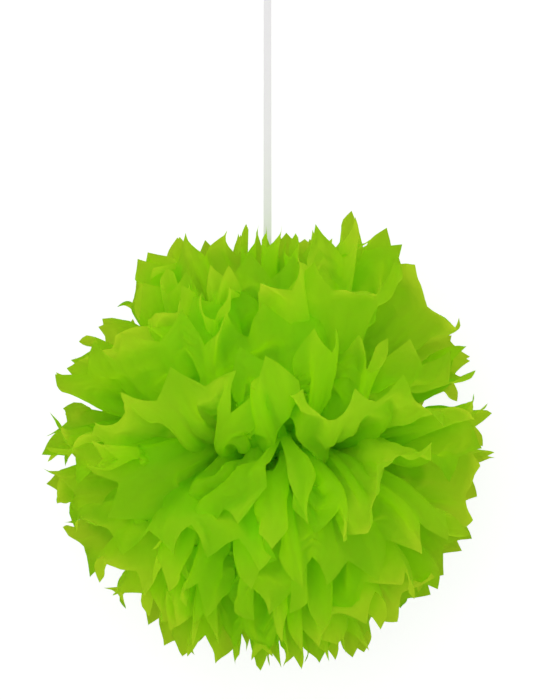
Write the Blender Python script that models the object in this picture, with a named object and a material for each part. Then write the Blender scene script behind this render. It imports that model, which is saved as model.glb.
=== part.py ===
"""Tissue paper pom pom, hung on a ribbon.

Ten sheets of tissue are laid in a stack, pleated together into one strip, pointed at both ends
and bound at the waist. Each end of the strip opens into a half fan, left and right, and the sheets
are then pulled apart one by one: five up and five down, from nearly level to nearly upright.

The frame has +Z up and its origin where a hook bears in the ribbon's loop. +X runs along the
pleated strip. Lengths are in metres and angles in degrees.
"""

import math

import bmesh
import bpy
from mathutils import Vector

# Tissue sheets
SHEETS_PER_HALF = 5
SHEET_WIDTH = 0.700  # across the pleats
SHEET_LENGTH = 0.410  # along the pleats, from point to point
PLEAT_COUNT = 18
TOOTH_DEPTH = 0.025  # from the valley between two points to their tips
TISSUE_THICKNESS = 0.0004  # a sheet as fluffed, not the paper's own gauge

# Waist, where the folded strip is bound
WAIST_WIDTH = 0.020  # across the gathered pleats
WAIST_LENGTH = 0.010  # along the strip at its middle, clear for the wire and the ribbon
WAIST_EDGE_LENGTH = 0.005  # along the strip at its front and back edges, where the fans meet
WAIST_SHEET_PITCH = 0.0016  # from one sheet to the next in the bound stack
WAIST_PLEAT_HEIGHT = 0.0010

# How the sheets are pulled apart
FAN_ANGLE = 180.0  # opening of each half fan, seen from above
SIDE_RISES = (6.0, 84.0)  # outermost and innermost sheet at the left and right
FRONT_RISES = (8.0, 86.0)  # the same at the front and back, where the fans meet
FRONT_CURL = 46.0  # how much more the outermost petals there rise towards their tips
RUFFLE_RISE = 3.5  # how far the fluffing lifts some petals and lowers others
RUFFLE_WAVES = (2.0, 5.0)  # waves of that ruffle round a half fan, a broad one and a fine one
BEND_LENGTH = 0.030  # from the waist to where a sheet has its full rise
PLEAT_OPENING_LENGTH = 0.075  # from the waist to where a pleat stands at its full height
ROW_STATIONS = (0.0, 0.010, 0.022, 0.045, 0.100)  # rows of points along a petal, before its teeth
MERIDIAN_STEP = 0.001
SHARE_OF_GAP = 0.12  # most of the room between two sheets that half a sheet's wall may take

# Wire that binds the waist
WIRE_DIAMETER = 0.0009
WIRE_CORNER_RADIUS = 0.0009
WIRE_TAIL_LENGTH = 0.012
WIRE_TAIL_TURNS = 3
WIRE_STRAND_GAP = 0.0002
WIRE_POINTS_PER_CORNER = 5
WIRE_POINTS_PER_TURN = 8

# Hanging ribbon
RIBBON_WIDTH = 0.007
RIBBON_THICKNESS = 0.0004
RIBBON_DROP = 0.455  # from the bearing point in the loop down to the middle of the waist
EYE_POINTS = 9  # round the underside of the wire
LOOP_HEIGHT = 0.040
LOOP_WIDTH = 0.020
LOOP_POINTS = 29
LOOP_PEAK_SWELL = 0.77  # most of sine times half-angle sine, which shapes the loop
STRAND_SPACING = 0.0012  # between the loop's two strands in their knot
KNOT_WIDTH = 0.0085
KNOT_HEIGHT = 0.0060
KNOT_DEPTH = 0.0045
KNOT_ROUNDING = 0.0014
KNOT_SEGMENTS = 3

CLEARANCE = 0.0003  # between pieces that lie on each other

# Colours as linear RGB
TISSUE_GREEN = (0.235, 0.540, 0.006)
RIBBON_WHITE = (0.720, 0.720, 0.730)
WIRE_GREY = (0.550, 0.560, 0.570)

PLEAT_WIDTH = SHEET_WIDTH / PLEAT_COUNT
PETAL_LENGTH = (SHEET_LENGTH - WAIST_LENGTH) / 2
VALLEY_STATION = PETAL_LENGTH - TOOTH_DEPTH
FAN_STEP = math.radians(FAN_ANGLE) / PLEAT_COUNT
WAIST_PLEAT_PITCH = WAIST_WIDTH / PLEAT_COUNT
WAIST_WALL = 2 * SHARE_OF_GAP * WAIST_SHEET_PITCH  # a sheet's wall where it is bound, straight up
STACK_HEIGHT = (2 * SHEETS_PER_HALF - 1) * WAIST_SHEET_PITCH + WAIST_PLEAT_HEIGHT + WAIST_WALL
WIRE_TOP = STACK_HEIGHT / 2 + 2 * CLEARANCE + RIBBON_THICKNESS + WIRE_DIAMETER / 2
WAIST_CENTRE = Vector((0.0, 0.0, -RIBBON_DROP))


def clear_scene():
    """Remove whatever the file opened with."""
    for obj in list(bpy.data.objects):
        bpy.data.objects.remove(obj, do_unlink=True)


def make_material(name, colour, roughness, metallic=0.0):
    """A Principled material in one plain finish."""
    material = bpy.data.materials.new(name)
    material.use_nodes = True
    shader = material.node_tree.nodes["Principled BSDF"]
    shader.inputs["Base Color"].default_value = (*colour, 1.0)
    shader.inputs["Roughness"].default_value = roughness
    shader.inputs["Metallic"].default_value = metallic
    return material


def add_object(name, bm, material):
    """Turn a bmesh in the waist's own frame into a named object."""
    bmesh.ops.recalc_face_normals(bm, faces=bm.faces)
    mesh = bpy.data.meshes.new(name)
    bm.to_mesh(mesh)
    bm.free()
    mesh.materials.append(material)
    obj = bpy.data.objects.new(name, mesh)
    obj.location = WAIST_CENTRE
    bpy.context.scene.collection.objects.link(obj)
    return obj


def ease(share):
    """Smooth step from 0 to 1."""
    share = min(max(share, 0.0), 1.0)
    return share * share * (3.0 - 2.0 * share)


# Tissue sheets


def lean_at(rise, curl, station):
    """Angle of a petal above level, in radians, at a distance along it from the waist."""
    return math.radians(rise * ease(station / BEND_LENGTH) + curl * (station / PETAL_LENGTH) ** 3)


def meridian_at(rise, curl, station):
    """(reach, height, lean) of a petal's middle line at a distance along it from the waist."""
    steps = max(1, round(station / MERIDIAN_STEP))
    length = station / steps
    reach = height = 0.0
    for step in range(steps):
        lean = lean_at(rise, curl, (step + 0.5) * length)
        reach += length * math.cos(lean)
        height += length * math.sin(lean)
    return reach, height, lean_at(rise, curl, station)


def pleat_height_at(reach, station):
    """Height of a pleat: the paper keeps its width, so it stands taller where the fan is narrow."""
    arc = reach * FAN_STEP + WAIST_PLEAT_PITCH
    full = math.sqrt(max(PLEAT_WIDTH**2 - arc**2, 0.0))
    return WAIST_PLEAT_HEIGHT + (full - WAIST_PLEAT_HEIGHT) * ease(station / PLEAT_OPENING_LENGTH)


def half_wall_at(reach, station, height):
    """Half a sheet's wall, measured square to the petal, so that a steep pleat keeps its gauge."""
    arc = reach * FAN_STEP + WAIST_PLEAT_PITCH
    steepness = math.hypot(arc, height) / arc
    rise_step = math.radians(FRONT_RISES[1] - FRONT_RISES[0]) / (SHEETS_PER_HALF - 1)
    room = WAIST_SHEET_PITCH + rise_step * max(station - BEND_LENGTH / 2, 0.0)
    return min(TISSUE_THICKNESS / 2 * steepness, SHARE_OF_GAP * room)


def between(ends, share):
    """A value part of the way from the first of two ends to the second."""
    return ends[0] + (ends[1] - ends[0]) * share


def ruffle_at(side, column):
    """The fluffing's lift of one column, in degrees, which all sheets share."""
    share = column / PLEAT_COUNT
    broad, fine = (
        math.sin(2 * math.pi * wave * share + side * (index + 1)) for index, wave in enumerate(RUFFLE_WAVES)
    )
    return RUFFLE_RISE * (0.6 * broad + 0.4 * fine)


def petal_lift(half, number, side, column):
    """(rise, curl) of one column. half is +1 or -1, and number counts sheets inwards from 0."""
    inward = number / (SHEETS_PER_HALF - 1)
    front = math.sin(column * FAN_STEP - math.radians(FAN_ANGLE) / 2) ** 2
    rise = between((between(SIDE_RISES, inward), between(FRONT_RISES, inward)), front)
    curl = FRONT_CURL * (1.0 - inward) ** 2 * front
    ruffle = ruffle_at(side, column) * math.cos(math.radians(rise))
    return half * rise + ruffle, half * curl


def petal_point(half, number, side, column, station, pleated, skin):
    """A point of a sheet. side is +1 or -1 along X, and skin +1 or -1 for the two faces of the paper."""
    reach, height, lean = meridian_at(*petal_lift(half, number, side, column), station)
    height += half * (number + 0.5) * WAIST_SHEET_PITCH
    pleat = pleat_height_at(reach, station)
    fold = (1 if column % 2 == 0 else -1) * pleat / 2 if pleated else 0.0
    offset = fold + skin * half_wall_at(reach, station, pleat)
    out = reach - offset * math.sin(lean)
    angle = column * FAN_STEP - math.radians(FAN_ANGLE) / 2
    across = column * WAIST_PLEAT_PITCH - WAIST_WIDTH / 2
    start = (WAIST_EDGE_LENGTH + (WAIST_LENGTH - WAIST_EDGE_LENGTH) * math.cos(angle)) / 2
    return Vector(
        (
            side * (start + out * math.cos(angle)),
            across + out * math.sin(angle),
            height + offset * math.cos(lean),
        )
    )


def add_skin(bm, half, number, skin):
    """One face of a sheet: rows of points from the left teeth through the waist to the right teeth."""
    stations = (*ROW_STATIONS, VALLEY_STATION)
    ends = [(-1, station) for station in reversed(stations)] + [(1, station) for station in stations]
    rows = [
        [
            bm.verts.new(petal_point(half, number, side, column, station, True, skin))
            for column in range(PLEAT_COUNT + 1)
        ]
        for side, station in ends
    ]
    tips = [
        [
            bm.verts.new(petal_point(half, number, side, pleat + 0.5, PETAL_LENGTH, False, skin))
            for pleat in range(PLEAT_COUNT)
        ]
        for side in (-1, 1)
    ]
    for near, far in zip(rows, rows[1:]):
        for pleat in range(PLEAT_COUNT):
            fold, opposite = (pleat, pleat + 1) if pleat % 2 == 0 else (pleat + 1, pleat)
            bm.faces.new((near[fold], near[opposite], far[fold]))
            bm.faces.new((near[opposite], far[opposite], far[fold]))
    for row, tip_row in zip((rows[0], rows[-1]), tips):
        for pleat in range(PLEAT_COUNT):
            bm.faces.new((row[pleat], row[pleat + 1], tip_row[pleat]))
    return rows, tips


def edge_loop_of(rows, tips):
    """The sheet's outline in order: left teeth, front edge, right teeth, back edge."""
    left, right = [], []
    for pleat in range(PLEAT_COUNT):
        left += [rows[0][pleat], tips[0][pleat]]
        right += [rows[-1][pleat], tips[1][pleat]]
    left.append(rows[0][-1])
    right.append(rows[-1][-1])
    front = [row[0] for row in rows[1:-1]]
    back = [row[-1] for row in rows[1:-1]]
    return left + back + right[::-1] + front[::-1]


def make_sheet(name, half, number, material):
    """One pleated sheet, with a half fan to the left and one to the right of the waist."""
    bm = bmesh.new()
    loops = [edge_loop_of(*add_skin(bm, half, number, skin)) for skin in (1, -1)]
    upper, lower = loops
    count = len(upper)
    for index in range(count):
        following = (index + 1) % count
        bm.faces.new((upper[index], upper[following], lower[following], lower[index]))
    return add_object(name, bm, material)


def make_sheets(material):
    """Both sets of sheets, numbered from the outermost, nearly level one to the innermost."""
    for half, word in ((1, "upper"), (-1, "lower")):
        for number in range(SHEETS_PER_HALF):
            make_sheet(f"{word}_sheet_{number + 1}", half, number, material)


# Wire round the waist


def wire_corners():
    """Centres of the wire loop's four round corners as (y, z), with the angle each one starts at."""
    side = WAIST_WIDTH / 2 + CLEARANCE + WIRE_DIAMETER / 2 - WIRE_CORNER_RADIUS
    top = WIRE_TOP - WIRE_CORNER_RADIUS
    bottom = WIRE_CORNER_RADIUS - STACK_HEIGHT / 2 - CLEARANCE - WIRE_DIAMETER / 2
    return ((side, top, 0), (-side, top, 90), (-side, bottom, 180), (side, bottom, 270))


def wire_loop_points():
    """The loop's middle line, from the side that faces the tail, over the top and round."""
    points = []
    for centre_y, centre_z, start in wire_corners():
        for step in range(WIRE_POINTS_PER_CORNER):
            angle = math.radians(start + 90.0 * step / (WIRE_POINTS_PER_CORNER - 1))
            y = centre_y + WIRE_CORNER_RADIUS * math.cos(angle)
            z = centre_z + WIRE_CORNER_RADIUS * math.sin(angle)
            points.append(Vector((0.0, y, z)))
    return points


def wire_tail_points(start, phase):
    """One strand of the twisted tail, outwards from the loop."""
    twist_radius = (WIRE_DIAMETER + WIRE_STRAND_GAP) / 2
    count = WIRE_TAIL_TURNS * WIRE_POINTS_PER_TURN
    points = []
    for step in range(count + 1):
        angle = phase + 2 * math.pi * step / WIRE_POINTS_PER_TURN
        turn = Vector((math.cos(angle), 0.0, math.sin(angle))) * twist_radius
        points.append(start + Vector((0.0, WIRE_TAIL_LENGTH * step / count, 0.0)) + turn)
    return points


def make_wire(material):
    """A wire loop round the waist, closed at the back by twisting its two ends together."""
    loop = wire_loop_points()
    start = Vector((0.0, loop[0].y + WIRE_DIAMETER, (loop[0].z + loop[-1].z) / 2))
    upper_strand = wire_tail_points(start, math.pi / 2)
    lower_strand = wire_tail_points(start, -math.pi / 2)
    points = upper_strand[::-1] + loop + lower_strand
    curve = bpy.data.curves.new("waist_wire", "CURVE")
    curve.dimensions = "3D"
    curve.bevel_depth = WIRE_DIAMETER / 2
    curve.bevel_resolution = 2
    curve.use_fill_caps = True
    spline = curve.splines.new("POLY")
    spline.points.add(len(points) - 1)
    for target, point in zip(spline.points, points):
        target.co = (*point, 1.0)
    curve.materials.append(material)
    wire = bpy.data.objects.new("waist_wire", curve)
    wire.location = WAIST_CENTRE
    bpy.context.scene.collection.objects.link(wire)
    return wire


# Hanging ribbon


def strip_solid(path, across):
    """A flat strip along a path of points. across is the direction of the ribbon's width."""
    half_width = across * RIBBON_WIDTH / 2
    bm = bmesh.new()
    rings = []
    for index, point in enumerate(path):
        before = path[max(index - 1, 0)]
        after = path[min(index + 1, len(path) - 1)]
        half_wall = (after - before).normalized().cross(across) * RIBBON_THICKNESS / 2
        corners = (
            point + half_width + half_wall,
            point + half_width - half_wall,
            point - half_width - half_wall,
            point - half_width + half_wall,
        )
        rings.append([bm.verts.new(corner) for corner in corners])
    for ring, following in zip(rings, rings[1:]):
        for side in range(4):
            beside = (side + 1) % 4
            bm.faces.new((ring[side], ring[beside], following[beside], following[side]))
    bm.faces.new(rings[0])
    bm.faces.new(rings[-1][::-1])
    return bm


def knot_solid(height):
    """A tight knot in the ribbon: a rounded block round the strands."""
    bm = bmesh.new()
    bmesh.ops.create_cube(bm, size=1.0)
    bmesh.ops.scale(bm, vec=(KNOT_WIDTH, KNOT_DEPTH, KNOT_HEIGHT), verts=bm.verts)
    bmesh.ops.bevel(
        bm,
        geom=bm.edges[:],
        offset=KNOT_ROUNDING,
        segments=KNOT_SEGMENTS,
        affect="EDGES",
        profile=0.5,
    )
    bmesh.ops.translate(bm, vec=(0.0, 0.0, height), verts=bm.verts)
    return bm


def eye_path(knot_height):
    """The turn of ribbon that passes under the wire, from the knot and back up to it."""
    radius = WIRE_DIAMETER / 2 + CLEARANCE + RIBBON_THICKNESS / 2
    points = [Vector((-radius, 0.0, knot_height))]
    for step in range(EYE_POINTS):
        angle = math.pi * (1 + step / (EYE_POINTS - 1))
        points.append(Vector((radius * math.cos(angle), 0.0, WIRE_TOP + radius * math.sin(angle))))
    points.append(Vector((radius, 0.0, knot_height)))
    return points


def loop_path(bottom, top):
    """The hanging loop: a drop shape that leaves its knot and comes back to it."""
    points = []
    for step in range(LOOP_POINTS):
        angle = 2 * math.pi * step / (LOOP_POINTS - 1)
        swell = math.sin(angle) * math.sin(angle / 2) / LOOP_PEAK_SWELL
        y = LOOP_WIDTH / 2 * swell + STRAND_SPACING / 2 * math.cos(angle / 2)
        points.append(Vector((0.0, y, bottom + (top - bottom) * (1 - math.cos(angle)) / 2)))
    return points


def make_ribbon(material):
    """The ribbon: an eye round the wire, its knot, the drop, a second knot and the hanging loop."""
    across_x = Vector((1.0, 0.0, 0.0))
    across_y = Vector((0.0, 1.0, 0.0))
    low_knot = WIRE_TOP + WIRE_DIAMETER / 2 + CLEARANCE + KNOT_HEIGHT / 2
    loop_top = RIBBON_DROP + RIBBON_THICKNESS / 2
    high_knot = loop_top - LOOP_HEIGHT - KNOT_HEIGHT / 4
    drop = [Vector((0.0, 0.0, low_knot)), Vector((0.0, 0.0, high_knot))]
    ribbon = add_object("hanging_ribbon", strip_solid(drop, across_x), material)
    others = {
        "low_knot": knot_solid(low_knot),
        "high_knot": knot_solid(high_knot),
        "wire_eye": strip_solid(eye_path(low_knot), across_y),
        "hanging_loop": strip_solid(loop_path(high_knot, loop_top), across_x),
    }
    for name, solid in others.items():
        tool = add_object(name, solid, material)
        tool.hide_render = True
        tool.display_type = "WIRE"
        join = ribbon.modifiers.new(name, "BOOLEAN")
        join.operation = "UNION"
        join.solver = "EXACT"
        join.object = tool
    return ribbon


def main():
    """Build the pom pom."""
    clear_scene()
    make_sheets(make_material("tissue", TISSUE_GREEN, 0.85))
    make_wire(make_material("wire", WIRE_GREY, 0.35, metallic=1.0))
    make_ribbon(make_material("ribbon", RIBBON_WHITE, 0.45))


main()
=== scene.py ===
"""Tissue paper pom pom on a ribbon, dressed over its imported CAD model.

The ten pleated sheets are fluffed by a small paper solver: each starts as an accordion fan, and the
solver lets it find a shape in which the paper keeps its length and the sheets make room for each other.
"""
import logging
import math
import time
from dataclasses import dataclass, field
from enum import Enum, IntEnum
from itertools import product
from typing import NamedTuple

import bmesh
import bpy
import numpy as np
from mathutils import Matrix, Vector


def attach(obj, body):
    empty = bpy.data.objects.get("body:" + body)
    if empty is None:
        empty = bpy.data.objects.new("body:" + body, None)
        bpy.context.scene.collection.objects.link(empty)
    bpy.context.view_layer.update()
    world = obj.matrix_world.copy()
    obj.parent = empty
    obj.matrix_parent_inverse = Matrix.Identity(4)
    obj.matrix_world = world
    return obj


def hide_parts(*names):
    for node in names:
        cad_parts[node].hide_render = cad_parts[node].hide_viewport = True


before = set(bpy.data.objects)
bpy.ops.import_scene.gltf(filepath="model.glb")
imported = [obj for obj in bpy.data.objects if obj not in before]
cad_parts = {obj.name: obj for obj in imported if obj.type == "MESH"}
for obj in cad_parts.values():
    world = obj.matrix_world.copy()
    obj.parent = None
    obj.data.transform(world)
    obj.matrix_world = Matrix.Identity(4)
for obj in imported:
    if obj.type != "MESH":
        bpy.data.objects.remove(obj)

LOG = logging.getLogger("pom_pom")
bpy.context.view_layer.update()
# Height of the middle of the waist, below the inside top of the hanging loop.
WAIST_HEIGHT = -0.455
# Added to lengths so that nothing is divided by zero.
LEAST_GAP = 1e-9
LEAST_NORMAL = 1e-12


class Half(IntEnum):
    """Which way a sheet is pulled from the waist."""

    UPPER = 1
    LOWER = -1


class Slot(Enum):
    """Material slots of the pieces that are made here."""

    TISSUE = "tissue"
    RIBBON = "ribbon"


class Fan(NamedTuple):
    """One side of one sheet. Number 1 is the outermost sheet, and the side is +1 or -1 along X."""

    half: Half
    number: int
    side: int


@dataclass(frozen=True)
class SheetCut:
    """A sheet of tissue as cut, and how it is folded and bound.

    The strip is folded across into pleats, both of its ends are cut to points, and a wire gathers its
    middle. Sizes are in metres, and a scatter is a share. The tooth onset says how late along a petal
    its point begins.
    """

    width: float = 0.700
    length: float = 0.410
    pleats: int = 18
    tooth_depth: float = 0.025
    tooth_scatter: float = 0.6
    tooth_onset: int = 5
    ridge_scatter: float = 0.05
    waist_width: float = 0.020
    waist_length: float = 0.010
    waist_edge_length: float = 0.005
    waist_fold_depth: float = 0.001
    sheet_pitch: float = 0.0016
    per_half: int = 5

    @property
    def panel(self) -> float:
        """Width of one pleat."""
        return self.width / self.pleats

    @property
    def petal(self) -> float:
        """Length from the waist to the points."""
        return (self.length - self.waist_length) / 2

    @property
    def area(self) -> float:
        """Flat area of a sheet with its points cut."""
        return self.width * (self.length - self.tooth_depth)


@dataclass(frozen=True)
class Fluffing:
    """How the sheets are pulled apart by hand. Angles are in degrees, lengths in metres.

    Each tuple of five has a value for every sheet of a half, the outermost, nearly level one first. A
    rise is the slope of a petal near the waist, and a curl is what is added to it towards the tip. A
    ramp along the petal is given by its slope and by what is taken off before it is smoothed.
    """

    side_rises: tuple[float, ...] = (-2.0, 14.0, 33.0, 52.0, 69.0)
    side_curls: tuple[float, ...] = (0.0, 1.0, 2.0, 3.0, -4.0)
    front_rises: tuple[float, ...] = (-1.0, 13.0, 33.0, 54.0, 75.0)
    front_curls: tuple[float, ...] = (126.0, 114.0, 92.0, 62.0, 14.0)
    steepest_rise: float = 86.0
    curl_power: float = 2.6

    seam_wave: float = 14.0
    seam_waves: int = 9
    seam_phase: float = 108.0
    seam_droop: float = 5.0
    seam_lifts: tuple[float, float] = (3.0, 5.0)
    seam_drift: float = 4.0

    drifts: tuple[float, ...] = (3.0, 4.0, 4.0, 4.0, 4.0)
    rise_scatter: tuple[float, ...] = (5.0, 8.0, 9.0, 9.0, 9.0)
    curl_scatter: float = 28.0
    curl_waviness: float = 0.6
    sway: float = 22.0
    sway_scatter: float = 9.0
    tip_scatter: float = 22.0
    tip_ramp: tuple[float, float] = (4.0, 3.0)

    upper_slips: tuple[float, ...] = (-0.001, -0.002, 0.010, 0.012, -0.004)
    lower_slips: tuple[float, ...] = (-0.002, 0.000, -0.003, 0.000, 0.000)
    bend_length: float = 0.030
    open_length: float = 0.075

    left_edges: tuple[float, float] = (-103.0, 95.0)
    right_edges: tuple[float, float] = (-85.0, 97.0)
    edge_zone: tuple[float, float] = (65.0, 20.0)
    interleaving: float = 5.0

    opening_scatter: float = 1.0
    shared_opening: float = 0.6
    own_opening: float = 0.8
    steepest_opening: float = 70.0
    widest_opening: float = 0.985
    side_closing: float = 0.15
    opening_rounds: int = 20

    least_pleat: float = 0.15
    roundness: float = 0.2
    rounded_depth: float = 0.85
    crimp: float = 0.36
    crimp_ramp: tuple[float, float] = (1.6, 0.4)
    bundle_radius: float = 0.002
    bundle_length: float = 0.01

    flare_bearings: tuple[float, float] = (-32.0, 22.0)
    flare_reach: float = 1.5
    flare_sheet: int = 3
    flare_rises: tuple[float, float] = (52.0, 4.0)
    flare_gain: float = 0.016
    flare_calm: float = 0.8
    seed: int = 13

    def slip(self, fan: Fan) -> float:
        """Length that a fan gains because its sheet has slipped through the wire."""
        slips = self.upper_slips if fan.half is Half.UPPER else self.lower_slips
        return fan.side * slips[fan.number - 1]


@dataclass(frozen=True)
class PaperFeel:
    """How the paper behaves in the solver.

    Bend is its stiffness across the pleats, and the next two are the shares of it that are left at a
    fold and lengthwise. Askew is the strength of the diagonal links. Crowding is worked out anew after
    every few sweeps, in a cube with this side in metres, and the void is added to its density so that
    its logarithm stays finite.
    """

    bend: float = 0.15
    fold_share: float = 0.3
    lengthwise_share: float = 0.3
    askew: float = 0.8
    crowd_every: int = 4
    crowd_cube: float = 0.52
    void: float = 0.15


@dataclass(frozen=True)
class Stage:
    """One stage of settling.

    At each of its sweeps a point goes a share of the way back to its opened place (homing), is pushed
    by up to the spread out of a crowd, which is measured in cells, and keeps a share of its speed
    (drag).
    """

    sweeps: int
    homing: float
    spread: float = 0.0
    cell: float = 0.008
    drag: float = 0.85


def smooth(share: np.ndarray) -> np.ndarray:
    """Smooth step from 0 to 1.

    Args:
        share: Values of any shape.

    Returns:
        The eased values.
    """
    share = np.clip(share, 0.0, 1.0)
    return share * share * (3.0 - 2.0 * share)


def wavy(rng: np.random.Generator, at: np.ndarray, waves: int) -> np.ndarray:
    """A smooth random curve with values of about -1 to 1.

    Args:
        rng: Seeded generator.
        at: Places along the curve, 0 to 1.
        waves: Number of sine waves in the sum, the finer ones lower.

    Returns:
        The curve's values at those places.
    """
    falloff, usual_peak = 0.7, 0.9
    total = np.zeros_like(at)
    weight = 0.0
    for wave in range(1, waves + 1):
        height = wave**-falloff
        total += height * np.sin(2 * math.pi * (0.5 * wave * at + rng.random()))
        weight += height * height
    return total / math.sqrt(weight) * usual_peak


def uneven(rng: np.random.Generator, count: int, at: np.ndarray) -> np.ndarray:
    """Random values at evenly spaced knots, joined by straight lines.

    Args:
        rng: Seeded generator.
        count: Number of knots.
        at: Places along the line, 0 to 1.

    Returns:
        Values of about -1 to 1 at those places.
    """
    spread = 0.7
    knots = np.clip(rng.normal(size=count) * spread, -2 * spread, 2 * spread)
    return np.interp(at, np.linspace(0.0, 1.0, count), knots)


def neighbours(start: int) -> tuple[slice, slice, slice]:
    """Slices that pick every other pair of neighbouring lines of a grid.

    Args:
        start: 0 or 1, the line with which the pairs begin.

    Returns:
        Slices of the first lines, of the second lines and of the links between them.
    """
    return slice(start, -1, 2), slice(start + 1, None, 2), slice(start, None, 2)


class PaperFans:
    """All half fans of the pom pom as one block of grid points, with a solver that relaxes them.

    Points are stored as an array of shape (fans, columns, rows, 3). Columns run across the pleats and
    rows from the waist out to the points.
    """

    def __init__(self, cut: SheetCut, fluffing: Fluffing, feel: PaperFeel, per_panel: int, rows: int) -> None:
        """Lay out the grid.

        Args:
            cut: The sheet's sizes.
            fluffing: How the sheets are pulled apart.
            feel: How the paper behaves.
            per_panel: Grid steps across one pleat, an even number.
            rows: Rows of points from the waist to the rim.
        """
        self.cut = cut
        self.fluffing = fluffing
        self.feel = feel
        self.per_panel = per_panel
        self.columns = cut.pleats * per_panel + 1
        self.rows = rows
        self.flat = self.flat_grid()
        self.points = self.fanned()
        self.home = self.points.copy()
        self.previous = self.points.copy()
        self.measure()

    def flat_grid(self) -> np.ndarray:
        """Places of the grid points on the flat sheet.

        Returns:
            Array of shape (columns, rows, 2): across the pleats, and along them from the waist.
        """
        cut = self.cut
        even = np.linspace(0.0, cut.pleats, self.columns)
        panel = np.minimum(even.astype(int), cut.pleats - 1)
        share = even - panel
        rng = np.random.default_rng(self.fluffing.seed + 1)
        peak = (0.5 + cut.ridge_scatter * (rng.random(cut.pleats) - 0.5))[panel]
        across = panel + np.where(share < 0.5, share * 2 * peak, 1 - (1 - share) * 2 * (1 - peak))
        tooth = 1.0 - np.abs(2.0 * share - 1.0)
        shallowest = 1.0 - cut.tooth_scatter / 2
        depth = cut.tooth_depth * (shallowest + cut.tooth_scatter * rng.random(cut.pleats + 1))
        valley = np.interp(even, np.arange(cut.pleats + 1), depth)
        step = np.linspace(0.0, 1.0, self.rows)[None, :]
        grid = np.empty((self.columns, self.rows, 2))
        grid[..., 0] = (across * cut.panel)[:, None]
        grid[..., 1] = cut.petal * step - (valley * (1.0 - tooth))[:, None] * step**cut.tooth_onset
        return grid

    def gathered_share(self, along: np.ndarray) -> np.ndarray:
        """How much of its flat width the paper shows at a distance from the waist.

        Args:
            along: Distances from the waist.

        Returns:
            Shares from the gathered waist up to 1.
        """
        cut = self.cut
        least = math.hypot(cut.waist_width / cut.pleats, cut.waist_fold_depth) / cut.panel
        return least + (1.0 - least) * smooth(along / self.fluffing.open_length)

    def fans(self) -> list[Fan]:
        """Every fan, in the order of the block."""
        numbers = range(1, self.cut.per_half + 1)
        return [Fan(*name) for name in product((Half.UPPER, Half.LOWER), numbers, (-1, 1))]

    def fanned(self) -> np.ndarray:
        """Open every fan to an uneven accordion, and note the length of its columns.

        Returns:
            Points relative to the middle of the waist, shape (fans, columns, rows, 3).
        """
        cut, fluffing = self.cut, self.fluffing
        rng = np.random.default_rng(fluffing.seed)
        folds = np.arange(cut.pleats + 1)
        across = np.linspace(0.0, 1.0, self.columns)
        shared = {side: rng.normal(size=(cut.pleats + 1) // 2) for side in (-1, 1)}
        drift = {side: wavy(rng, across, waves=5) for side in (-1, 1)}
        opened, lengths = [], []
        for fan in self.fans():
            index = fan.number - 1
            crimp = fluffing.crimp * rng.normal(size=cut.pleats)
            first, last = np.radians(fluffing.left_edges if fan.side < 0 else fluffing.right_edges)
            room = math.cos(math.radians(min(fluffing.side_rises[index], fluffing.steepest_opening)))
            widths = self.uneven_openings(rng, room, shared[fan.side], float(last - first))
            angles = first + (last - first) * np.concatenate([[0.0], np.cumsum(widths)]) / widths.sum()
            azimuth = np.interp(across * cut.pleats, folds, angles)
            rise, curl = self.lift(fan, azimuth)
            rise += fluffing.seam_drift * (1 - index / cut.per_half) * drift[fan.side]
            rise += fluffing.drifts[index] * wavy(rng, across, waves=6)
            curls = fluffing.curl_waviness * wavy(rng, across, waves=7)
            rise += fluffing.rise_scatter[index] * uneven(rng, len(folds), across)
            curls += uneven(rng, len(folds), across)
            sway = fluffing.sway * wavy(rng, across, waves=6)
            sway += fluffing.sway_scatter * uneven(rng, len(folds), across)
            tip = fluffing.tip_scatter * uneven(rng, 2 * cut.pleats + 1, across)
            flare = self.flare(fan, azimuth)
            calm = 1.0 - fluffing.flare_calm * flare
            curl += fluffing.curl_scatter * curls * calm
            lengths.append(1.0 + (fluffing.slip(fan) + fluffing.flare_gain * flare) / cut.petal)
            lifts = (rise, curl, tip * calm)
            opened.append(self.one_fan(fan, lengths[-1], azimuth, np.radians(sway), lifts, crimp))
        self.lengths = np.array(lengths)
        return np.array(opened)

    def lift(self, fan: Fan, azimuth: np.ndarray) -> tuple[np.ndarray, np.ndarray]:
        """How steeply the petals of a fan rise, and how much they curl.

        Args:
            fan: Which fan.
            azimuth: Direction of each column seen from above, in radians.

        Returns:
            Rise and curl of each column, in degrees above level.
        """
        fluffing, index = self.fluffing, fan.number - 1
        front = np.sin(azimuth) ** 2
        rise = fluffing.side_rises[index] * (1 - front) + fluffing.front_rises[index] * front
        curl = fluffing.side_curls[index] * (1 - front**2) + fluffing.front_curls[index] * front**2
        begins, over = (math.radians(angle) for angle in fluffing.edge_zone)
        edge = smooth((np.abs(azimuth) - begins) / over)
        shift = fan.side * np.sign(azimuth) * fluffing.interleaving * edge
        seam = fluffing.seam_lifts[(fan.side + 1) // 2] * (1 - front) - fluffing.seam_droop * front
        bearing = azimuth if fan.side > 0 else math.pi - azimuth
        straight = self.flare(fan, azimuth)
        rise += (fluffing.flare_rises[0] + fluffing.flare_rises[1] * fan.number - rise) * straight
        curl *= 1.0 - straight
        wave = np.sin(fluffing.seam_waves * bearing + math.radians(fluffing.seam_phase)) * front
        outward = 1 - index / self.cut.per_half
        shift += seam * outward + fluffing.seam_wave * wave * outward**2
        return fan.half * rise + shift, fan.half * curl

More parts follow.
